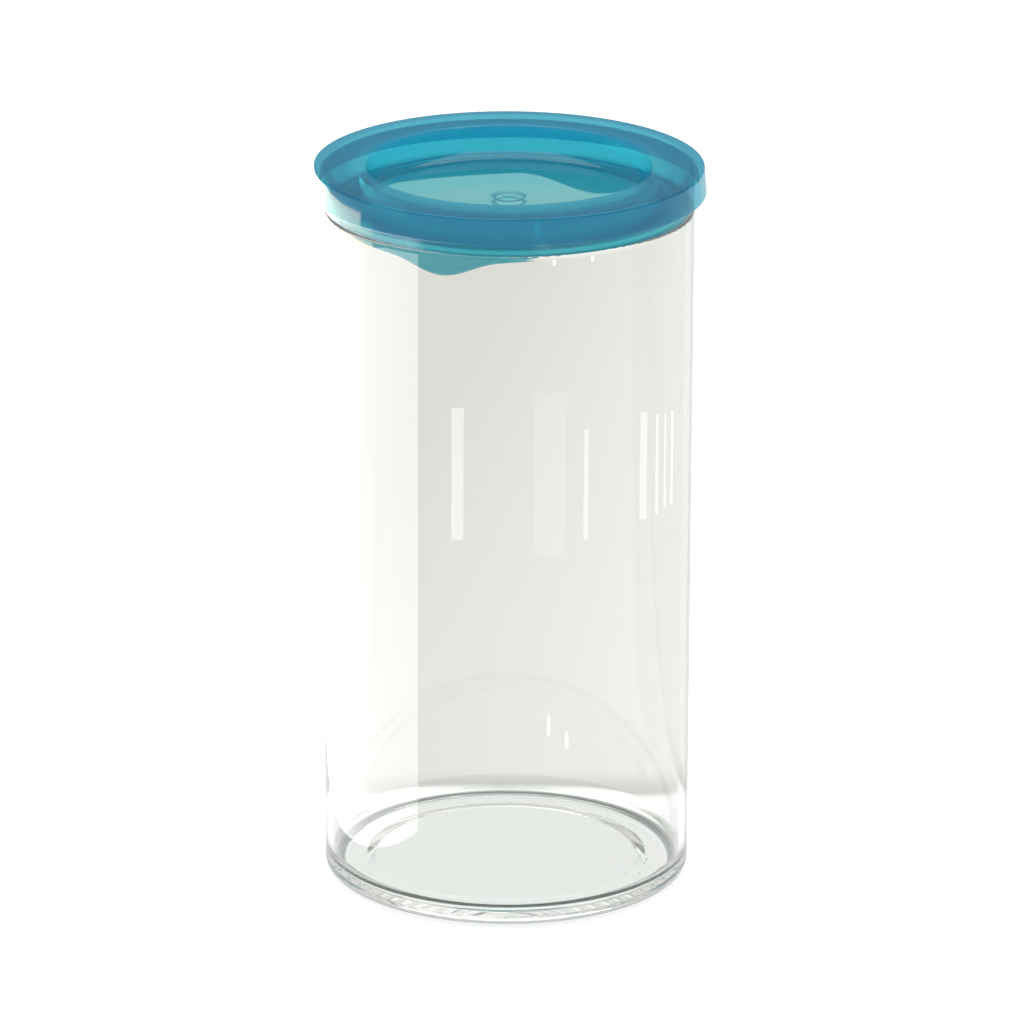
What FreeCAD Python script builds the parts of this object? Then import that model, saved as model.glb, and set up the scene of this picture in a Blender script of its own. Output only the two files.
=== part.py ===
import FreeCAD, Part
import Sketcher
import math
import os

# A straight-sided glass storage canister, closed by a press-in plastic lid.
# The lid is a rigid cap whose dished middle is a plug. A soft seal ring is stretched round
# the plug: its web reaches out to rest on the glass rim, a wall stands on the web to carry the
# cap, and a skirt with a wavy edge hangs inside the mouth.
# Frame: origin at the centre of the base, +Z up, millimetres.

doc = FreeCAD.newDocument("storage_canister")

# --------------------------------------------------------------------------------------
# Driving dimensions, in millimetres
# --------------------------------------------------------------------------------------

SIZES = [
    # The glass jar
    ("glass_radius", 50.0, "outside radius of the straight glass wall"),
    ("glass_wall", 2.2, "thickness of the glass wall"),
    ("glass_height", 189.3, "top of the glass rim above the table"),
    ("glass_floor", 3.4, "top of the glass floor above the table"),
    ("glass_heel_round", 2.9, "round between the base and the outside wall"),
    ("glass_floor_round", 4.5, "round between the floor and the inside wall"),
    ("glass_rim_round", 1.0, "round on each side of the rim"),
    ("rest_ring_inner", 39.0, "inside radius of the flat ring the jar stands on"),
    ("punt_edge", 36.0, "radius where the raised middle of the base levels off"),
    ("punt_rise", 0.8, "height of the raised middle of the base above the table"),
    ("punt_round", 3.0, "round on both edges of the step round the raised middle"),
    # The cap
    ("cap_top", 200.6, "top of the cap above the table"),
    ("cap_radius", 52.6, "outside radius at the top of the cap"),
    ("cap_flare", 0.6, "how much wider the cap is at its hem than at its top"),
    ("cap_hem_drop", 7.4, "depth of the cap's outer wall below its top"),
    ("cap_skin", 1.8, "thickness of the cap's moulded walls"),
    ("cap_edge_round", 0.6, "round on the cap's upper outside edge"),
    ("cap_hem_round", 0.4, "round on the lower edges of the cap's outer wall"),
    ("dish_mouth", 38.4, "radius where the cap's flat top turns down into the dish"),
    ("dish_mouth_round", 1.2, "round on the lip of the dish"),
    ("dish_lean", 1.2, "how far the dish wall leans inward on its way down"),
    ("dish_drop", 8.9, "depth of the dish floor below the cap's top"),
    ("dish_bend", 6.0, "inside bend between the dish wall and its floor"),
    ("gate_mark_radius", 4.85, "radius of the round moulding mark in the dish"),
    ("gate_mark_slope", 0.7, "width of the moulding mark's sloping side"),
    ("gate_mark_drop", 0.6, "depth of the moulding mark below the dish floor"),
    ("gate_stub_length", 3.6, "length of the trimmed gate stub inside the mark"),
    ("gate_stub_width", 1.2, "width of the gate stub"),
    ("gate_stub_rise", 0.4, "height of the gate stub above the mark"),
    ("plug_radius", 40.4, "outside radius of the plug wall round the dish"),
    ("plug_drop", 12.5, "depth of the plug wall's lower edge below the cap's top"),
    ("plug_round", 0.4, "round on the lower inside edge of the plug wall"),
    ("seat_radius", 42.4, "outside radius of the collar above the seal's inside edge"),
    ("seat_thick", 1.2, "thickness of that collar"),
    ("seat_round", 0.3, "round on the outside edges of that collar"),
    ("catch_radius", 40.9, "outside radius of the bead that keeps the seal on the plug"),
    ("catch_round", 0.3, "round on the outside edges of that bead"),
    # The seal ring
    ("seal_gap", 0.05, "clearance between the seal and each piece it touches"),
    ("web_radius", 49.9, "outside radius of the seal's flat web, which rests on the rim"),
    ("web_thick", 1.2, "thickness of the seal's web"),
    ("seal_wall", 1.6, "thickness of the wall that stands on the web's outside edge"),
    ("seal_wall_round", 0.4, "round on the edges of that wall and under the web's rim"),
    ("seal_wall_bend", 0.6, "inside bend between the web and its standing wall"),
    ("skirt_radius", 47.5, "outside radius of the seal's skirt, inside the mouth"),
    ("skirt_thick", 1.25, "thickness of the seal's skirt"),
    ("skirt_root_round", 0.5, "round on both sides where the skirt leaves the web"),
    ("skirt_least_drop", 12.1, "depth of the skirt's edge below the cap's top between lobes"),
    ("skirt_stock_drop", 24.0, "depth of the skirt before its edge is trimmed to the wave"),
]

# The skirt's edge dips in smooth lobes, and overlapping lobes add up. Each is a direction
# from +X in degrees, a half width in degrees and an extra depth in millimetres.
SKIRT_LOBES = {
    "rear_right_lobe": (58.5, 29.0, 5.9),
    "rear_sag": (106.0, 90.0, 4.5),
    "front_left_sag": (239.0, 70.0, 2.3),
    "front_left_tab": (248.5, 18.5, 3.7),
}
WAVE_POINTS = 60
TRIM_MARGIN = 6.0
SAME = 0.01

# Numbers that a sketch constraint takes for its own origin, axis and line ends
ORIGIN = -1
UPRIGHT_AXIS = -2
FLAT_AXIS = -1
FIRST_END = 1
SECOND_END = 2

ON_AXIS = ""
ON_TABLE = ""

sizes = doc.addObject("Spreadsheet::Sheet", "sizes")
for row, (alias, number, meaning) in enumerate(SIZES, start=1):
    sizes.set(f"A{row}", alias)
    sizes.set(f"B{row}", str(number))
    sizes.set(f"C{row}", meaning)
    sizes.setAlias(f"B{row}", alias)
doc.recompute()


def reading(formula):
    """The present value and the sheet expression of a formula that adds and takes away aliases."""
    total = 0.0
    sign = 1
    words = []
    for word in formula.split():
        if word in ("+", "-"):
            sign = 1 if word == "+" else -1
            words.append(word)
        else:
            total += sign * sizes.get(word)
            words.append(f"sizes.{word}")
    return total, " ".join(words)


def size(formula):
    """The present value of a formula of aliases."""
    return reading(formula)[0]


# --------------------------------------------------------------------------------------
# Sketches and turned bodies
# --------------------------------------------------------------------------------------


def origin_plane(body, role):
    """The body's own origin plane with that role."""
    return next(part for part in body.Origin.OriginFeatures if part.Role == role)


def new_sketch(body, name, role):
    """An empty sketch on one of the body's origin planes."""
    sketch = body.newObject("Sketcher::SketchObject", name)
    sketch.AttachmentSupport = (origin_plane(body, role), [""])
    sketch.MapMode = "FlatFace"
    return sketch


def bind(sketch, constraint, expression):
    """Adds a dimension to the sketch and binds it to the sheet."""
    index = sketch.addConstraint(constraint)
    sketch.setExpression(f"Constraints[{index}]", expression)


def hold_corner(sketch, line, direction, formula, axis):
    """Binds one coordinate of a line's first end to the sheet, or puts that end on an axis."""
    if not formula:
        on_axis = Sketcher.Constraint("PointOnObject", line, FIRST_END, axis)
        sketch.addConstraint(on_axis)
        return
    value, expression = reading(formula)
    held = Sketcher.Constraint(direction, ORIGIN, FIRST_END, line, FIRST_END, value)
    bind(sketch, held, expression)


def draw_outline(sketch, corners):
    """A closed outline of straight lines, each corner held by its radius and height formulas."""
    points = [FreeCAD.Vector(size(radius), size(height), 0) for radius, height in corners]
    following = points[1:] + points[:1]
    for start, end in zip(points, following):
        sketch.addGeometry(Part.LineSegment(start, end), False)
    for line in range(len(corners)):
        next_line = (line + 1) % len(corners)
        joined = Sketcher.Constraint("Coincident", line, SECOND_END, next_line, FIRST_END)
        sketch.addConstraint(joined)
    for line, (radius, height) in enumerate(corners):
        hold_corner(sketch, line, "DistanceX", radius, UPRIGHT_AXIS)
        hold_corner(sketch, line, "DistanceY", height, FLAT_AXIS)


def turned_body(name, corners):
    """A PartDesign body made by turning an outline of corners about the upright axis."""
    body = doc.addObject("PartDesign::Body", name)
    sketch = new_sketch(body, f"{name}_outline", "XZ_Plane")
    draw_outline(sketch, corners)
    turned = body.newObject("PartDesign::Revolution", f"{name}_turned")
    turned.Profile = sketch
    turned.ReferenceAxis = (sketch, ["V_Axis"])
    turned.Angle = 360
    doc.recompute()
    return body


def ring_edges(shape, radius, height):
    """Names of the shape's circular edges about the upright axis at that radius and height."""
    names = []
    for number, edge in enumerate(shape.Edges, start=1):
        if not isinstance(edge.Curve, Part.Circle):
            continue
        same_radius = abs(edge.Curve.Radius - radius) < SAME
        same_height = abs(edge.Curve.Center.z - height) < SAME
        if same_radius and same_height:
            names.append(f"Edge{number}")
    return names


def round_off(body, name, round_formula, corners):
    """Rounds the edges that a turned body has at the given outline corners."""
    base = body.Tip
    edges = []
    for radius, height in corners:
        found = ring_edges(base.Shape, size(radius), size(height))
        if not found:
            raise ValueError(f"{name}: no edge at {radius}, {height}")
        edges += found
    rounded = body.newObject("PartDesign::Fillet", name)
    rounded.Base = (base, edges)
    rounded.setExpression("Radius", reading(round_formula)[1])
    doc.recompute()


# --------------------------------------------------------------------------------------
# The glass jar
# --------------------------------------------------------------------------------------


def make_glass_jar():
    """A straight glass cylinder with a thick floor, a slightly raised base and a round rim."""
    inside = "glass_radius - glass_wall"
    punt_corner = ("punt_edge", "punt_rise")
    rest_corner = ("rest_ring_inner", ON_TABLE)
    heel_corner = ("glass_radius", ON_TABLE)
    rim_outside = ("glass_radius", "glass_height")
    rim_inside = (inside, "glass_height")
    floor_corner = (inside, "glass_floor")
    jar = turned_body(
        "glass_jar",
        [
            (ON_AXIS, "punt_rise"),
            punt_corner,
            rest_corner,
            heel_corner,
            rim_outside,
            rim_inside,
            floor_corner,
            (ON_AXIS, "glass_floor"),
        ],
    )
    round_off(jar, "jar_heel", "glass_heel_round", [heel_corner])
    round_off(jar, "jar_floor_bend", "glass_floor_round", [floor_corner])
    round_off(jar, "jar_rim", "glass_rim_round", [rim_outside, rim_inside])
    round_off(jar, "jar_punt", "punt_round", [punt_corner, rest_corner])
    return jar


# --------------------------------------------------------------------------------------
# The lid's cap
# --------------------------------------------------------------------------------------

WEB_BOTTOM = "glass_height + seal_gap"
WEB_TOP = f"{WEB_BOTTOM} + web_thick"
SEAT_BOTTOM = f"{WEB_TOP} + seal_gap"
SEAT_TOP = f"{SEAT_BOTTOM} + seat_thick"
CATCH_TOP = "glass_height"


def make_lid_cap():
    """The moulded cap: flat rim, flared outer wall, and a dish whose wall is the plug."""
    dish_level = "cap_top - dish_drop"
    mark_level = f"{dish_level} - gate_mark_drop"
    underside = f"{dish_level} - cap_skin"
    hem_level = "cap_top - cap_hem_drop"
    ceiling = "cap_top - cap_skin"
    plug_level = "cap_top - plug_drop"
    plug_bore = "plug_radius - cap_skin"
    dish_lip = ("dish_mouth", "cap_top")
    dish_corner = ("dish_mouth - dish_lean", dish_level)
    top_edge = ("cap_radius", "cap_top")
    hem_outside = ("cap_radius + cap_flare", hem_level)
    hem_inside = ("cap_radius + cap_flare - cap_skin", hem_level)
    seat_upper = ("seat_radius", SEAT_TOP)
    seat_lower = ("seat_radius", SEAT_BOTTOM)
    catch_upper = ("catch_radius", CATCH_TOP)
    catch_lower = ("catch_radius", plug_level)
    plug_inside = (plug_bore, plug_level)
    cap = turned_body(
        "lid_cap",
        [
            (ON_AXIS, mark_level),
            ("gate_mark_radius - gate_mark_slope", mark_level),
            ("gate_mark_radius", dish_level),
            dish_corner,
            dish_lip,
            top_edge,
            hem_outside,
            hem_inside,
            ("cap_radius - cap_skin", ceiling),
            ("plug_radius", ceiling),
            ("plug_radius", SEAT_TOP),
            seat_upper,
            seat_lower,
            ("plug_radius", SEAT_BOTTOM),
            ("plug_radius", CATCH_TOP),
            catch_upper,
            catch_lower,
            plug_inside,
            (plug_bore, underside),
            (ON_AXIS, underside),
        ],
    )
    round_off(cap, "cap_top_edge", "cap_edge_round", [top_edge])
    round_off(cap, "cap_hem", "cap_hem_round", [hem_outside, hem_inside])
    round_off(cap, "cap_dish_lip", "dish_mouth_round", [dish_lip])
    round_off(cap, "cap_dish_bend", "dish_bend", [dish_corner])
    round_off(cap, "cap_seat_edges", "seat_round", [seat_upper, seat_lower])
    round_off(cap, "cap_catch_edges", "catch_round", [catch_upper, catch_lower])
    round_off(cap, "cap_plug_edge", "plug_round", [plug_inside])
    add_gate_stub(cap, mark_level)
    return cap


def add_gate_stub(cap, level):
    """The short trimmed stub that stands in the middle of the gate mark."""
    sketch = new_sketch(cap, "gate_stub_outline", "XY_Plane")
    half_length = size("gate_stub_length") / 2
    half_width = size("gate_stub_width") / 2
    corners = [
        FreeCAD.Vector(-half_length, -half_width, 0),
        FreeCAD.Vector(half_length, -half_width, 0),
        FreeCAD.Vector(half_length, half_width, 0),
        FreeCAD.Vector(-half_length, half_width, 0),
    ]
    for start, end in zip(corners, corners[1:] + corners[:1]):
        sketch.addGeometry(Part.LineSegment(start, end), False)
    for line in range(len(corners)):
        next_line = (line + 1) % len(corners)
        joined = Sketcher.Constraint("Coincident", line, SECOND_END, next_line, FIRST_END)
        sketch.addConstraint(joined)
    for line in (0, 2):
        sketch.addConstraint(Sketcher.Constraint("Horizontal", line))
    for line in (1, 3):
        sketch.addConstraint(Sketcher.Constraint("Vertical", line))
    centred = Sketcher.Constraint("Symmetric", 0, FIRST_END, 1, SECOND_END, ORIGIN, FIRST_END)
    sketch.addConstraint(centred)
    length = Sketcher.Constraint("DistanceX", 0, FIRST_END, 0, SECOND_END, 2 * half_length)
    bind(sketch, length, "sizes.gate_stub_length")
    width = Sketcher.Constraint("DistanceY", 1, FIRST_END, 1, SECOND_END, 2 * half_width)
    bind(sketch, width, "sizes.gate_stub_width")
    sketch.setExpression(".AttachmentOffset.Base.z", reading(level)[1])
    doc.recompute()
    volume_before = cap.Shape.Volume
    stub = cap.newObject("PartDesign::Pad", "gate_stub")
    stub.Profile = sketch
    stub.setExpression("Length", "sizes.gate_stub_rise")
    doc.recompute()
    if cap.Shape.Volume <= volume_before:
        raise ValueError("the gate stub added nothing to the cap")


# --------------------------------------------------------------------------------------
# The soft seal ring
# --------------------------------------------------------------------------------------


def lobe_depth(angle, centre, half_width, depth):
    """One smooth dip of the skirt's edge at an angle in degrees, zero outside its width."""
    away = (angle - centre + 180) % 360 - 180
    if abs(away) >= half_width:
        return 0.0
    return depth * (1 + math.cos(math.pi * away / half_width)) / 2


def wavy_loop(radius):
    """A closed curve at one radius that follows the height of the skirt's lower edge."""
    highest = size("cap_top - skirt_least_drop")
    points = []
    for step in range(WAVE_POINTS):
        angle = 360 * step / WAVE_POINTS
        height = highest - sum(lobe_depth(angle, *lobe) for lobe in SKIRT_LOBES.values())
        across = radius * math.cos(math.radians(angle))
        along = radius * math.sin(math.radians(angle))
        points.append(FreeCAD.Vector(across, along, height))
    curve = Part.BSplineCurve()
    curve.interpolate(points, PeriodicFlag=True)
    return curve.toShape()


def make_skirt_trim():
    """The solid below the skirt's wavy edge, which the seal's stock is trimmed with."""
    trim = doc.addObject("Part::Feature", "skirt_trim")
    inner_loop = wavy_loop(size("skirt_radius - skirt_thick") - TRIM_MARGIN)
    outer_loop = wavy_loop(size("skirt_radius") + TRIM_MARGIN)
    wavy_face = Part.makeRuledSurface(inner_loop, outer_loop)
    downward = FreeCAD.Vector(0, 0, -size("skirt_stock_drop"))
    trim.Shape = wavy_face.extrude(downward)
    trim.Placement = FreeCAD.Placement()
    return trim


def make_seal_ring():
    """A soft ring: a web from plug to rim, a wall up to the cap, and a wavy skirt below."""
    skirt_inside = "skirt_radius - skirt_thick"
    stock_level = "cap_top - skirt_stock_drop"
    web_bore = "plug_radius + seal_gap"
    wall_inside = "web_radius - seal_wall"
    wall_level = "cap_top - cap_skin - seal_gap"
    wall_bend = (wall_inside, WEB_TOP)
    wall_inner_top = (wall_inside, wall_level)
    wall_outer_top = ("web_radius", wall_level)
    web_lower = ("web_radius", WEB_BOTTOM)
    outer_root = ("skirt_radius", WEB_BOTTOM)
    inner_root = (skirt_inside, WEB_BOTTOM)
    stock = turned_body(
        "seal_stock",
        [
            (web_bore, WEB_TOP),
            wall_bend,
            wall_inner_top,
            wall_outer_top,
            web_lower,
            outer_root,
            ("skirt_radius", stock_level),
            (skirt_inside, stock_level),
            inner_root,
            (web_bore, WEB_BOTTOM),
        ],
    )
    wall_edges = [wall_inner_top, wall_outer_top, web_lower]
    round_off(stock, "wall_edges", "seal_wall_round", wall_edges)
    round_off(stock, "wall_bend", "seal_wall_bend", [wall_bend])
    round_off(stock, "skirt_roots", "skirt_root_round", [outer_root, inner_root])
    ring = doc.addObject("Part::Cut", "seal_ring")
    ring.Base = stock
    ring.Tool = make_skirt_trim()
    doc.recompute()
    if ring.Shape.Volume >= stock.Shape.Volume:
        raise ValueError("the trim took nothing off the seal's skirt")
    return ring


# --------------------------------------------------------------------------------------
# Build, check and export
# --------------------------------------------------------------------------------------


def check(pieces):
    """Stops if any object failed to recompute or any piece isn't one valid closed solid."""
    for item in doc.Objects:
        if "Invalid" in item.State or "Error" in item.State:
            raise ValueError(f"{item.Name} is {item.State}")
    for piece in pieces:
        shape = piece.Shape
        if shape.isNull() or not shape.isValid() or len(shape.Solids) != 1:
            raise ValueError(f"{piece.Label} isn't one valid solid")


pieces = [make_glass_jar(), make_lid_cap(), make_seal_ring()]
for piece in pieces:
    piece.Label = piece.Name
doc.recompute()
check(pieces)

os.makedirs("parts", exist_ok=True)
for piece in pieces:
    piece.Shape.exportStep(f"parts/{piece.Label}.step")
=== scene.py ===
import math

import bpy
from mathutils import Matrix, Vector
from mathutils.bvhtree import BVHTree


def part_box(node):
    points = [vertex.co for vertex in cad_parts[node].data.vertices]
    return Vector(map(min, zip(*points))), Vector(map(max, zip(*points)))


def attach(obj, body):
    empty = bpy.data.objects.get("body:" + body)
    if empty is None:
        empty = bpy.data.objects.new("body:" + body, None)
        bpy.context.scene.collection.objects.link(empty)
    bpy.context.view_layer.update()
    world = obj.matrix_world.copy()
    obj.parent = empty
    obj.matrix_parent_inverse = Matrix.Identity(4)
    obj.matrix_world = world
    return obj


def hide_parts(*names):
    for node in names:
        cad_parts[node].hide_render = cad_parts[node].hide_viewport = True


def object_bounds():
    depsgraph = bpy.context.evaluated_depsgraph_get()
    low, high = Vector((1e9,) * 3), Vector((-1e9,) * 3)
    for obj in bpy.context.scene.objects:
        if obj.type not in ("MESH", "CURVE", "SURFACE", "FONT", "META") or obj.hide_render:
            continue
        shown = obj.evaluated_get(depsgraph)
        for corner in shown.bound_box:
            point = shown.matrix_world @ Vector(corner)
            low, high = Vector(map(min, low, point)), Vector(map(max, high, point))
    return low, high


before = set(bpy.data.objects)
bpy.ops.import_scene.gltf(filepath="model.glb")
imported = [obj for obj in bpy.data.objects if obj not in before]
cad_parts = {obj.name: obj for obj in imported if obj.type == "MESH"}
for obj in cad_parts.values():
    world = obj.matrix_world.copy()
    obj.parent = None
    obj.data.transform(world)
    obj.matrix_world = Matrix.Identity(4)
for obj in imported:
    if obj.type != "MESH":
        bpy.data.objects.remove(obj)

# The looks of a glass storage canister: clear glass jar, translucent moulded cap, soft seal ring.
# Everything is in metres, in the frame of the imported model: origin at the base, +Z up.

MM = 0.001

cad_low, cad_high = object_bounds()
_, jar_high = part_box("glass_jar")
_, seal_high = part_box("seal_ring")

WHITE = (1, 1, 1)

# --------------------------------------------------------------------------------------
# Node helpers
# --------------------------------------------------------------------------------------


def link(obj):
    """Puts a new object in the scene."""
    bpy.context.scene.collection.objects.link(obj)
    return obj


def feed(tree, value, socket):
    """Sets a socket from a number, a colour or another node's output."""
    if isinstance(value, bpy.types.NodeSocket):
        tree.links.new(value, socket)
    elif isinstance(value, tuple):
        socket.default_value = (*value, 1)
    else:
        socket.default_value = value


def new_tree(owner):
    """The empty node tree of a material or a world."""
    owner.use_nodes = True
    owner.node_tree.nodes.clear()
    return owner.node_tree


def math_node(tree, operation, first, second):
    """The result of one sum on two numbers or grey values."""
    node = tree.nodes.new("ShaderNodeMath")
    node.operation = operation
    feed(tree, first, node.inputs[0])
    feed(tree, second, node.inputs[1])
    return node.outputs["Value"]


def object_coordinates(tree, scale=(1, 1, 1)):
    """Object coordinates, stretched by a scale."""
    coordinates = tree.nodes.new("ShaderNodeTexCoord")
    mapping = tree.nodes.new("ShaderNodeMapping")
    mapping.inputs["Scale"].default_value = scale
    tree.links.new(coordinates.outputs["Object"], mapping.inputs["Vector"])
    return mapping.outputs["Vector"]


def noise(tree, vector, scale, detail):
    """The grey value of a noise texture."""
    texture = tree.nodes.new("ShaderNodeTexNoise")
    texture.inputs["Scale"].default_value = scale
    texture.inputs["Detail"].default_value = detail
    tree.links.new(vector, texture.inputs["Vector"])
    return texture.outputs["Fac"]


def ranged(tree, value, low, high, start=0.3, end=0.7, smooth=False):
    """A grey value remapped from start..end to low..high."""
    remap = tree.nodes.new("ShaderNodeMapRange")
    remap.interpolation_type = "SMOOTHSTEP" if smooth else "LINEAR"
    remap.inputs["From Min"].default_value = start
    remap.inputs["From Max"].default_value = end
    remap.inputs["To Min"].default_value = low
    remap.inputs["To Max"].default_value = high
    tree.links.new(value, remap.inputs["Value"])
    return remap.outputs["Result"]


def band(tree, value, inner, outer, blur):
    """One between two limits and nothing beyond them, with soft sides."""
    rising = ranged(tree, value, 0, 1, inner - blur, inner)
    falling = ranged(tree, value, 1, 0, outer, outer + blur)
    return math_node(tree, "MULTIPLY", rising, falling)


def tint(tree, factor, first, second):
    """A colour between two, by a grey value."""
    mix = tree.nodes.new("ShaderNodeMix")
    mix.data_type = "RGBA"
    feed(tree, first, mix.inputs["A"])
    feed(tree, second, mix.inputs["B"])
    tree.links.new(factor, mix.inputs["Factor"])
    return mix.outputs["Result"]


def bump(tree, height, distance, strength):
    """A bump normal from a height."""
    node = tree.nodes.new("ShaderNodeBump")
    node.inputs["Distance"].default_value = distance
    node.inputs["Strength"].default_value = strength
    tree.links.new(height, node.inputs["Height"])
    return node.outputs["Normal"]


def shader_node(tree, kind, **values):
    """A shader node of one kind, with its inputs set by name."""
    node = tree.nodes.new(kind)
    for name, value in values.items():
        feed(tree, value, node.inputs[name.replace("_", " ")])
    return node.outputs[0]


def mixed(tree, first, second, factor):
    """A shader between two, by a number or a grey value."""
    mix = tree.nodes.new("ShaderNodeMixShader")
    feed(tree, factor, mix.inputs["Fac"])
    tree.links.new(first, mix.inputs[1])
    tree.links.new(second, mix.inputs[2])
    return mix.outputs["Shader"]


def show_surface(tree, shader):
    """Makes a shader the material's surface."""
    output = tree.nodes.new("ShaderNodeOutputMaterial")
    tree.links.new(shader, output.inputs["Surface"])


# --------------------------------------------------------------------------------------
# Materials
# --------------------------------------------------------------------------------------

GLASS_INDEX = 1.473
DRAW_LINE_STRETCH = (1, 1, 0.05)
# A painted glow, standing in for light trapped in the wall, comes back a little at every bounce
# past this depth.
PIPED_DEPTH = 8
PAINTED_PIPED_GLOW = 0.010
PAINTED_PIPED_TINT = (0.92, 1.0, 0.95)

PLASTIC_INDEX = 1.5
SCATTERED_ONWARD = 0.7
PEEL_DEPTH = 0.02 * MM
CAP_BODY = (0.13, 0.50, 0.74)
SEAL_BODY = (0.05, 0.50, 0.66)

# Where the cap's tone deepens, as distances from its axis; the top edge band and the gate ring
# are painted shade.
THIN_FLOOR_RADIUS = 34 * MM
THICK_WALL_RADIUS = 37.5 * MM
RIM_STARTS = 41 * MM
RIM_DEEPEST = 45 * MM
EDGE_STARTS = 48 * MM
EDGE_DEEPEST = 50 * MM
EDGE_DEPTH = 1.2 * MM
GATE_RING_INNER = 3.7 * MM
GATE_RING_OUTER = 4.6 * MM
GATE_RING_BLUR = 0.4 * MM

# The colour of light that has passed one surface of each part; the top edge and gate ring colours
# are painted shade.
THROUGH_RIM = (0.31, 0.80, 0.85)
TOP_EDGE_PAINTED_SHADE = (0.24, 0.57, 0.65)
GATE_RING_PAINTED_SHADE = (0.28, 0.62, 0.66)
THROUGH_SEAL_WALL = (0.55, 0.92, 0.93)


def make_glass():
    """Clear glass with faint upright draw lines, a few smudges and a painted glow for light piped
    in its wall.
    """
    material = bpy.data.materials.new("clear_jar_glass")
    tree = new_tree(material)
    streaks = noise(tree, object_coordinates(tree, DRAW_LINE_STRETCH), 60, 3)
    smudges = noise(tree, object_coordinates(tree), 35, 4)
    depth = tree.nodes.new("ShaderNodeLightPath").outputs["Ray Depth"]
    shader = shader_node(
        tree,
        "ShaderNodeBsdfPrincipled",
        Base_Color=tint(tree, smudges, (0.965, 0.98, 0.96), (0.98, 0.99, 0.975)),
        Roughness=ranged(tree, smudges, 0.0, 0.02),
        Normal=bump(tree, streaks, 0.05 * MM, 0.3),
        IOR=GLASS_INDEX,
        Transmission_Weight=1.0,
        # Painted glow: the glass gives off a faint light past the bounce depth.
        Emission_Color=PAINTED_PIPED_TINT,
        Emission_Strength=ranged(tree, depth, 0, PAINTED_PIPED_GLOW, PIPED_DEPTH, PIPED_DEPTH + 1),
    )
    show_surface(tree, shader)
    return material


def outer_reflection(tree, index, normal):
    """The share of light that mirrors off a surface met from outside, and none from inside."""
    facing = tree.nodes.new("ShaderNodeFresnel")
    facing.inputs["IOR"].default_value = index
    tree.links.new(normal, facing.inputs["Normal"])
    geometry = tree.nodes.new("ShaderNodeNewGeometry")
    outside = math_node(tree, "SUBTRACT", 1.0, geometry.outputs["Backfacing"])
    return math_node(tree, "MULTIPLY", facing.outputs["Fac"], outside)


def cloudy_plastic(tree, body, through, haze, gloss, normal):
    """Plastic that lets tinted light through and scatters a little of it on the way."""
    passing = shader_node(tree, "ShaderNodeBsdfTransparent", Color=through)
    front = shader_node(tree, "ShaderNodeBsdfDiffuse", Color=body, Normal=normal)
    back = shader_node(tree, "ShaderNodeBsdfTranslucent", Color=body, Normal=normal)
    cloud = mixed(tree, front, back, SCATTERED_ONWARD)
    inside = mixed(tree, passing, cloud, haze)
    sheen = shader_node(tree, "ShaderNodeBsdfGlossy", Roughness=gloss, Normal=normal)
    mirrored = outer_reflection(tree, PLASTIC_INDEX, normal)
    return mixed(tree, inside, sheen, mirrored)


def distance_from_axis(tree):
    """How far a point is from the canister's upright axis, in metres."""
    flat = tree.nodes.new("ShaderNodeVectorMath")
    flat.operation = "LENGTH"
    tree.links.new(object_coordinates(tree, (1, 1, 0)), flat.inputs[0])
    return flat.outputs["Value"]


def height_above_base(tree):
    """How high a point is above the table, in metres."""
    split = tree.nodes.new("ShaderNodeSeparateXYZ")
    tree.links.new(object_coordinates(tree), split.inputs["Vector"])
    return split.outputs["Z"]


def make_cap_plastic():
    """Moulded cap plastic: thin clear dish floor, deeper walls and rim, painted shade along the
    top edge and as a dark line at the gate.
    """
    material = bpy.data.materials.new("moulded_cap_plastic")
    tree = new_tree(material)
    radius = distance_from_axis(tree)
    walls = ranged(tree, radius, 0, 1, THIN_FLOOR_RADIUS, THICK_WALL_RADIUS, smooth=True)
    rim = ranged(tree, radius, 0, 1, RIM_STARTS, RIM_DEEPEST, smooth=True)
    # Painted shade: a darker band along the cap's top outer edge.
    edge = ranged(tree, radius, 0, 1, EDGE_STARTS, EDGE_DEEPEST, smooth=True)
    near_top = ranged(tree, height_above_base(tree), 0, 1, cad_high.z - EDGE_DEPTH, cad_high.z)
    top_edge_shade = math_node(tree, "MULTIPLY", edge, near_top)
    # Painted shade: a dark ring at the gate mark, in place of the dark lines its slopes show by
    # refraction.
    ring = band(tree, radius, GATE_RING_INNER, GATE_RING_OUTER, GATE_RING_BLUR)
    flow = noise(tree, object_coordinates(tree), 45, 3)
    clear = tint(tree, flow, (0.60, 0.96, 0.96), (0.64, 0.99, 0.99))
    deep = tint(tree, flow, (0.42, 0.91, 0.93), (0.46, 0.93, 0.95))
    through = tint(tree, walls, clear, deep)
    through = tint(tree, rim, through, THROUGH_RIM)
    through = tint(tree, top_edge_shade, through, TOP_EDGE_PAINTED_SHADE)
    through = tint(tree, ring, through, GATE_RING_PAINTED_SHADE)
    peel = noise(tree, object_coordinates(tree), 400, 2)
    shader = cloudy_plastic(
        tree,
        body=CAP_BODY,
        through=through,
        haze=ranged(tree, math_node(tree, "MAXIMUM", walls, ring), 0.14, 0.30, 0, 1),
        gloss=ranged(tree, flow, 0.05, 0.10),
        normal=bump(tree, peel, PEEL_DEPTH, 0.5),
    )
    show_surface(tree, shader)
    return material


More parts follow.
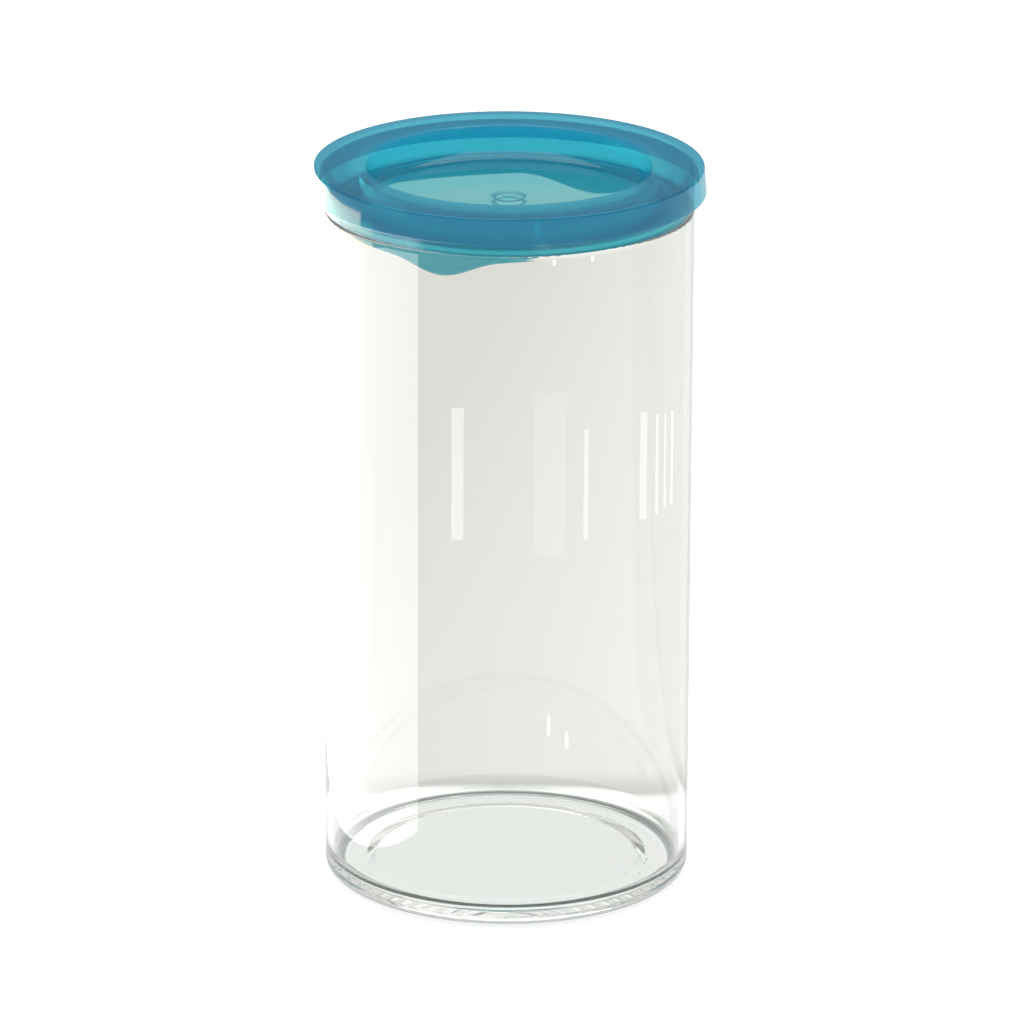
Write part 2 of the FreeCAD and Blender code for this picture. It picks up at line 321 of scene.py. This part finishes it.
def make_seal_rubber():
    """Soft elastomer, more satin than the cap and deepest in its hanging skirt."""
    material = bpy.data.materials.new("soft_seal_rubber")
    tree = new_tree(material)
    above = ranged(tree, height_above_base(tree), 0, 1, jar_high.z, jar_high.z + WEB_THICK)
    cloud = noise(tree, object_coordinates(tree), 40, 3)
    skirt = tint(tree, cloud, (0.14, 0.78, 0.80), (0.17, 0.81, 0.83))
    peel = noise(tree, object_coordinates(tree), 600, 2)
    shader = cloudy_plastic(
        tree,
        body=SEAL_BODY,
        through=tint(tree, above, skirt, THROUGH_SEAL_WALL),
        haze=ranged(tree, above, 0.40, 0.16, 0, 1),
        gloss=ranged(tree, cloud, 0.15, 0.25),
        normal=bump(tree, peel, PEEL_DEPTH, 0.5),
    )
    show_surface(tree, shader)
    return material


# --------------------------------------------------------------------------------------
# The soft seal ring, rebuilt with a rounded bead along its wavy edge
# --------------------------------------------------------------------------------------

SEAL_STEPS = 360
SECTION_STEPS = 28
WEB_BOTTOM = jar_high.z + 0.05 * MM
WEB_THICK = 1.2 * MM
WEB_WIDTH = 9.45 * MM
WALL_THICK = 1.6 * MM
WALL_ROUND = 0.4 * MM
WALL_BEND = 0.6 * MM
SKIRT_INSET = 2.4 * MM
SKIRT_THICK = 1.25 * MM
ROOT_ROUND = 0.5 * MM
BEAD_BULGE = 0.2 * MM
BEAD_HEIGHT = 1.7 * MM
CORNER_STEPS = 5
SMOOTH_REACH = 3
# The most of a short skirt's length that its end round and its root round may take.
END_ROUND_SHARE = 0.45
ROOT_ROUND_SHARE = 0.35

seal_radius = seal_high.x
skirt_middle = seal_radius - SKIRT_INSET - SKIRT_THICK / 2


def skirt_edge_heights():
    """Height of the CAD skirt's lower edge all round, found by rays cast upward into it."""
    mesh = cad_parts["seal_ring"].data
    corners = [vertex.co for vertex in mesh.vertices]
    tree = BVHTree.FromPolygons(corners, [face.vertices for face in mesh.polygons])
    heights = []
    for step in range(SEAL_STEPS):
        angle = math.tau * step / SEAL_STEPS
        below = Vector((math.cos(angle), math.sin(angle), 0)) * skirt_middle
        heights.append(tree.ray_cast(below, Vector((0, 0, 1)))[0].z)
    reach = range(-SMOOTH_REACH, SMOOTH_REACH + 1)
    return [
        sum(heights[(step + offset) % SEAL_STEPS] for offset in reach) / len(reach)
        for step in range(SEAL_STEPS)
    ]


def skirt_half_width(above, length):
    """Half the skirt's thickness at a height above its edge: round edge, bead, then root."""
    end_round = min(SKIRT_THICK / 2, END_ROUND_SHARE * length)
    near_end = max(0.0, 1 - above / end_round)
    width = SKIRT_THICK / 2 * math.sqrt(1 - near_end**2)
    in_bead = min(1.0, above / BEAD_HEIGHT)
    fade = min(1.0, length / (2 * BEAD_HEIGHT))
    width += BEAD_BULGE * fade * math.sin(math.pi * in_bead) ** 2
    root = min(ROOT_ROUND, ROOT_ROUND_SHARE * length)
    into_root = max(0.0, root - (length - above))
    return width + root - math.sqrt(root**2 - into_root**2)


def corner_arc(radius, height, turn, start, sweep):
    """Points of a round about a centre, from a starting angle."""
    points = []
    for step in range(CORNER_STEPS + 1):
        angle = start + sweep * step / CORNER_STEPS
        points.append((radius + turn * math.cos(angle), height + turn * math.sin(angle)))
    return points


def seal_section(edge):
    """The seal's outline in radius and height, where its skirt reaches down to an edge."""
    quarter = math.pi / 2
    length = WEB_BOTTOM - edge
    web_top = WEB_BOTTOM + WEB_THICK
    bore = seal_radius - WEB_WIDTH
    inside = seal_radius - WALL_THICK
    rim = seal_radius - WALL_ROUND
    top = seal_high.z - WALL_ROUND
    outline = [(bore, WEB_BOTTOM), (bore, web_top)]
    outline += corner_arc(inside - WALL_BEND, web_top + WALL_BEND, WALL_BEND, -quarter, quarter)
    outline += corner_arc(inside + WALL_ROUND, top, WALL_ROUND, 2 * quarter, -quarter)
    outline += corner_arc(rim, top, WALL_ROUND, quarter, -quarter)
    outline += corner_arc(rim, WEB_BOTTOM + WALL_ROUND, WALL_ROUND, 0, -quarter)
    fractions = [
        (1 - math.cos(math.pi * step / SECTION_STEPS)) / 2 for step in range(SECTION_STEPS + 1)
    ]
    for fraction in reversed(fractions):
        above = fraction * length
        outline.append((skirt_middle + skirt_half_width(above, length), edge + above))
    for fraction in fractions[1:]:
        above = fraction * length
        outline.append((skirt_middle - skirt_half_width(above, length), edge + above))
    return outline


def make_soft_seal():
    """The ring as one closed mesh: a section for every step round, joined by quads."""
    vertices = []
    for step, edge in enumerate(skirt_edge_heights()):
        angle = math.tau * step / SEAL_STEPS
        for radius, height in seal_section(edge):
            vertices.append((radius * math.cos(angle), radius * math.sin(angle), height))
    count = len(vertices) // SEAL_STEPS
    faces = []
    for step in range(SEAL_STEPS):
        here = step * count
        there = (step + 1) % SEAL_STEPS * count
        for point in range(count):
            following = (point + 1) % count
            faces.append((here + point, here + following, there + following, there + point))
    mesh = bpy.data.meshes.new("soft_seal_ring")
    mesh.from_pydata(vertices, [], faces)
    mesh.polygons.foreach_set("use_smooth", [True] * len(faces))
    seal = link(bpy.data.objects.new("soft_seal_ring", mesh))
    mesh.materials.append(make_seal_rubber())
    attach(seal, "seal")
    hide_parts("seal_ring")


# --------------------------------------------------------------------------------------
# Studio: pale floor, soft surround, and cards that only show as reflections
# --------------------------------------------------------------------------------------

FLOOR_HALF = 6.0
FLOOR_GAP = 0.05 * MM
FLOOR_COLOUR = (0.3, 0.3, 0.3)
FLOOR_GLOW = (0.8, 0.8, 0.8)
FLOOR_IN_MIRROR = (0.5, 0.5, 0.5)
FLOOR_IN_CLOUD = (0.4, 0.4, 0.4)

# Painted shade: behind the jar, the floor seen through the glass steps down to a darker line
# and then rises to a grey that is lighter on the right.
FLOOR_SHADE_LINE = (0.24, 0.24, 0.21)
FLOOR_SHADE_LEFT = (0.31, 0.30, 0.27)
FLOOR_SHADE_RIGHT = (0.53, 0.53, 0.50)
FAR_LINE_STARTS = 49 * MM
FAR_LINE_DARKEST = 54 * MM
FAR_LINE_ENDS = 74 * MM
FAR_LEFT = -110 * MM
FAR_RIGHT = 40 * MM
FAR_SLANT = 0.2

# A painted contact shadow: the ring of floor under the foot, which gets hardly any light.
FLOOR_FOOT_SHADOW = (0.02, 0.03, 0.02)
FOOT_INSIDE = 46 * MM
FOOT_OUTSIDE = 50 * MM
FOOT_BLUR = 1 * MM

BACKDROP_GLOW = 1.5
FRONT_GLOW = 0.25
FRONT_ENDS = -0.6
BACKDROP_STARTS = 0.5
BACKDROP_IN_MIRROR = (0.2, 0.2, 0.2)
BACKDROP_THROUGH_GLASS = (0.65, 0.64, 0.615)

SOFTBOX_PLACE = (0, 0.2, 1.6)
SOFTBOX_TOWARDS = (0, -0.2, -1.5)
SOFTBOX_SIZE = 1.6
SOFTBOX_GLOW = 1.7

WINDOW_ACROSS = -80 * MM
WINDOW_FAR = 170 * MM
WINDOW_NEAR_ON_GLASS = -79 * MM
WINDOW_NEAR_ON_LID = -32 * MM
WINDOW_BREAK = 174 * MM
WINDOW_TOP = 190 * MM
WINDOW_GLOW_ON_GLASS = 4.5
WINDOW_GLOW_ON_LID = 6.0
WINDOW_COLOUR_ON_LID = (1, 0.85, 0.6)

CARD_DISTANCE = 110 * MM
# Each bright streak or glint: how far round the jar it stands from the camera's side, in degrees
# to the right, then the middle height, width and height of its card in mm, and its glow.
STREAKS = [
    (-15.7, 92, 18, 39, 4.0),
    (13.1, 92, 48, 48, 0.9),
    (13.1, 92, 40, 43, 0.9),
    (13.1, 93, 32, 38, 1.2),
    (13.1, 94, 22, 32, 1.8),
    (24.9, 88, 7, 33, 3.5),
    (46.9, 90, 14, 32, 2.5),
    (53.6, 89, 6, 30, 2.5),
    (58.0, 89, 4, 28, 2.5),
    (62.4, 89, 6, 28, 2.0),
    (11.0, 160, 8, 10, 22.0),
    (21.0, 160, 4, 9, 30.0),
    (14.0, 155, 5, 3, 12.0),
    (26.5, 155, 4, 3, 12.0),
    (13.1, 17, 5, 6, 6.0),
    (19.0, 12, 5, 5, 6.0),
]


def ray_kinds(tree):
    """Whether a ray comes by mirror reflection, by scattering, through glass, or directly."""
    rays = tree.nodes.new("ShaderNodeLightPath")
    through = rays.outputs["Is Transmission Ray"]
    not_through = math_node(tree, "SUBTRACT", 1.0, through)
    mirrored = math_node(tree, "MULTIPLY", rays.outputs["Is Glossy Ray"], not_through)
    return mirrored, rays.outputs["Is Diffuse Ray"], through, rays.outputs["Is Camera Ray"]


def studio_place(tree, turntable):
    """The X and Y of a point or a direction, measured across and along the camera's view."""
    place = tree.nodes.new("ShaderNodeTexCoord")
    place.object = turntable
    split = tree.nodes.new("ShaderNodeSeparateXYZ")
    tree.links.new(place.outputs["Object"], split.inputs["Vector"])
    return split.outputs["X"], split.outputs["Y"]


def floor_through_glass(tree, turntable):
    """The floor seen through glass: pale close by, with painted shade greyer behind and a painted
    contact shadow under the foot.
    """
    across, along = studio_place(tree, turntable)
    slant = math_node(tree, "MULTIPLY", along, FAR_SLANT)
    sideways = math_node(tree, "SUBTRACT", across, slant)
    side = ranged(tree, sideways, 0, 1, FAR_LEFT, FAR_RIGHT)
    # Painted shade on the floor behind the jar, greyer to the right.
    far = tint(tree, side, FLOOR_SHADE_LEFT, FLOOR_SHADE_RIGHT)
    distance = ranged(tree, along, 0, 1, FAR_LINE_STARTS, FAR_LINE_DARKEST)
    past_line = ranged(tree, along, 0, 1, FAR_LINE_DARKEST, FAR_LINE_ENDS, smooth=True)
    behind = tint(tree, distance, FLOOR_GLOW, tint(tree, past_line, FLOOR_SHADE_LINE, far))
    # Painted contact shadow under the foot.
    foot_shadow = band(tree, distance_from_axis(tree), FOOT_INSIDE, FOOT_OUTSIDE, FOOT_BLUR)
    return tint(tree, foot_shadow, behind, FLOOR_FOOT_SHADOW)


def make_floor(turntable):
    """A large pale floor, dimmer in mirrors and behind glass so that the clear jar reads."""
    mesh = bpy.data.meshes.new("floor")
    half = FLOOR_HALF
    corners = [(-half, -half, 0), (half, -half, 0), (half, half, 0), (-half, half, 0)]
    mesh.from_pydata(corners, [], [(0, 1, 2, 3)])
    floor = link(bpy.data.objects.new("floor", mesh))
    floor.location.z = -FLOOR_GAP
    material = bpy.data.materials.new("pale_floor")
    tree = new_tree(material)
    mirrored, clouded, through, _ = ray_kinds(tree)
    glow = tint(tree, through, FLOOR_GLOW, floor_through_glass(tree, turntable))
    glow = tint(tree, mirrored, glow, FLOOR_IN_MIRROR)
    shader = shader_node(
        tree,
        "ShaderNodeBsdfPrincipled",
        Base_Color=FLOOR_COLOUR,
        Roughness=1.0,
        Specular_IOR_Level=0.0,
        Emission_Color=tint(tree, clouded, glow, FLOOR_IN_CLOUD),
        Emission_Strength=1.0,
    )
    show_surface(tree, shader)
    mesh.materials.append(material)


def make_turntable(camera):
    """An empty that keeps to the camera's side, as if the object stood on a turntable."""
    turntable = link(bpy.data.objects.new("studio_turntable", None))
    follow = turntable.constraints.new("COPY_ROTATION")
    follow.target = camera
    follow.use_x = False
    follow.use_y = False
    return turntable


def make_world(turntable):
    """A white backdrop, dimmer on the camera's side, in mirror reflections and behind glass."""
    world = bpy.data.worlds.new("studio")
    bpy.context.scene.world = world
    tree = new_tree(world)
    _, along = studio_place(tree, turntable)
    spread = ranged(
        tree, along, FRONT_GLOW, BACKDROP_GLOW, FRONT_ENDS, BACKDROP_STARTS, smooth=True
    )
    mirrored, _, through, seen = ray_kinds(tree)
    even = tint(tree, seen, spread, WHITE)
    behind = tint(tree, through, even, BACKDROP_THROUGH_GLASS)
    glow = tint(tree, mirrored, behind, BACKDROP_IN_MIRROR)
    output = tree.nodes.new("ShaderNodeOutputWorld")
    background = shader_node(tree, "ShaderNodeBackground", Color=glow)
    tree.links.new(background, output.inputs["Surface"])


def soft_light(name, place, towards, width, height, glow, colour=WHITE):
    """A soft rectangular light of an even glow, which the camera doesn't see."""
    data = bpy.data.lights.new(name, "AREA")
    data.shape = "RECTANGLE"
    data.size = width
    data.size_y = height
    data.energy = glow * math.pi * width * height
    data.color = colour
    light = link(bpy.data.objects.new(name, data))
    light.location = place
    light.rotation_euler = Vector(towards).to_track_quat("-Z", "Y").to_euler()
    light.visible_camera = False
    return light


def show_only_in_mirrors(card, turntable):
    """Keeps a light to mirror reflections, and turns it with the studio."""
    card.visible_diffuse = False
    card.visible_transmission = False
    card.parent = turntable


def make_streak_cards(turntable):
    """One small upright card for each bright streak or glint."""
    for number, (side, middle, width, height, glow) in enumerate(STREAKS, start=1):
        stand = math.radians(side)
        on_glass = Vector((math.sin(stand), -math.cos(stand), 0)) * jar_high.x
        away = Vector((math.sin(2 * stand), -math.cos(2 * stand), 0))
        place = on_glass + away * CARD_DISTANCE
        place.z = middle * MM
        name = f"streak_card_{number}"
        card = soft_light(name, place, -away, width * MM, height * MM, glow)
        show_only_in_mirrors(card, turntable)


def window_card(name, near, low, high, glow, colour, turntable):
    """A bright upright card on the left, from a nearest point back and between two heights."""
    place = Vector((WINDOW_ACROSS, (near + WINDOW_FAR) / 2, (low + high) / 2))
    card = soft_light(name, place, (1, 0, 0), WINDOW_FAR - near, high - low, glow, colour)
    show_only_in_mirrors(card, turntable)


def make_window(turntable):
    """The window on the left: a wide card the glass mirrors, and a short one for the lid."""
    window_card(
        "window_on_glass",
        near=WINDOW_NEAR_ON_GLASS,
        low=0,
        high=WINDOW_BREAK,
        glow=WINDOW_GLOW_ON_GLASS,
        colour=WHITE,
        turntable=turntable,
    )
    window_card(
        "window_on_lid",
        near=WINDOW_NEAR_ON_LID,
        low=WINDOW_BREAK,
        high=WINDOW_TOP,
        glow=WINDOW_GLOW_ON_LID,
        colour=WINDOW_COLOUR_ON_LID,
        turntable=turntable,
    )


# --------------------------------------------------------------------------------------
# Camera
# --------------------------------------------------------------------------------------

CAMERA_ELEVATION = math.radians(18.76)
CAMERA_DISTANCE = 2.0733
CAMERA_LENS = 267.15
SENSOR_WIDTH = 36
FARTHEST_SEEN = 50
CAMERA_ROLL = math.radians(0.25)
AIM_RIGHT = 1.18 * MM
AIM_UP = 1.43 * MM


def make_camera():
    """A long lens, looking down a little at the middle of the canister."""
    data = bpy.data.cameras.new("camera")
    data.lens = CAMERA_LENS
    data.sensor_width = SENSOR_WIDTH
    data.clip_end = FARTHEST_SEEN
    camera = link(bpy.data.objects.new("camera", data))
    look_at = Vector((0, 0, cad_high.z / 2))
    forward = Vector((0, math.cos(CAMERA_ELEVATION), -math.sin(CAMERA_ELEVATION)))
    upward = Vector((0, math.sin(CAMERA_ELEVATION), math.cos(CAMERA_ELEVATION)))
    camera.location = look_at - forward * CAMERA_DISTANCE
    aim = look_at + Vector((AIM_RIGHT, 0, 0)) + upward * AIM_UP
    towards = (aim - camera.location).to_track_quat("-Z", "Y").to_matrix()
    camera.rotation_euler = (towards @ Matrix.Rotation(CAMERA_ROLL, 3, "Z")).to_euler()
    bpy.context.scene.camera = camera
    return camera


# --------------------------------------------------------------------------------------
# Put together
# --------------------------------------------------------------------------------------

LIGHT_BOUNCES = 32


def show_with(node, material):
    """Gives a carried-over CAD node its own material in every slot."""
    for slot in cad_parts[node].material_slots:
        slot.material = material


show_with("glass_jar", make_glass())
show_with("lid_cap", make_cap_plastic())
make_soft_seal()

turntable = make_turntable(make_camera())
make_floor(turntable)
make_world(turntable)
make_streak_cards(turntable)
make_window(turntable)
soft_light(
    "top_softbox", SOFTBOX_PLACE, SOFTBOX_TOWARDS, SOFTBOX_SIZE, SOFTBOX_SIZE, SOFTBOX_GLOW
)

scene = bpy.context.scene
scene.view_settings.view_transform = "Standard"
scene.view_settings.look = "None"
scene.cycles.use_denoising = True
scene.cycles.max_bounces = LIGHT_BOUNCES
scene.cycles.transmission_bounces = LIGHT_BOUNCES
scene.cycles.glossy_bounces = LIGHT_BOUNCES
scene.cycles.transparent_max_bounces = LIGHT_BOUNCES
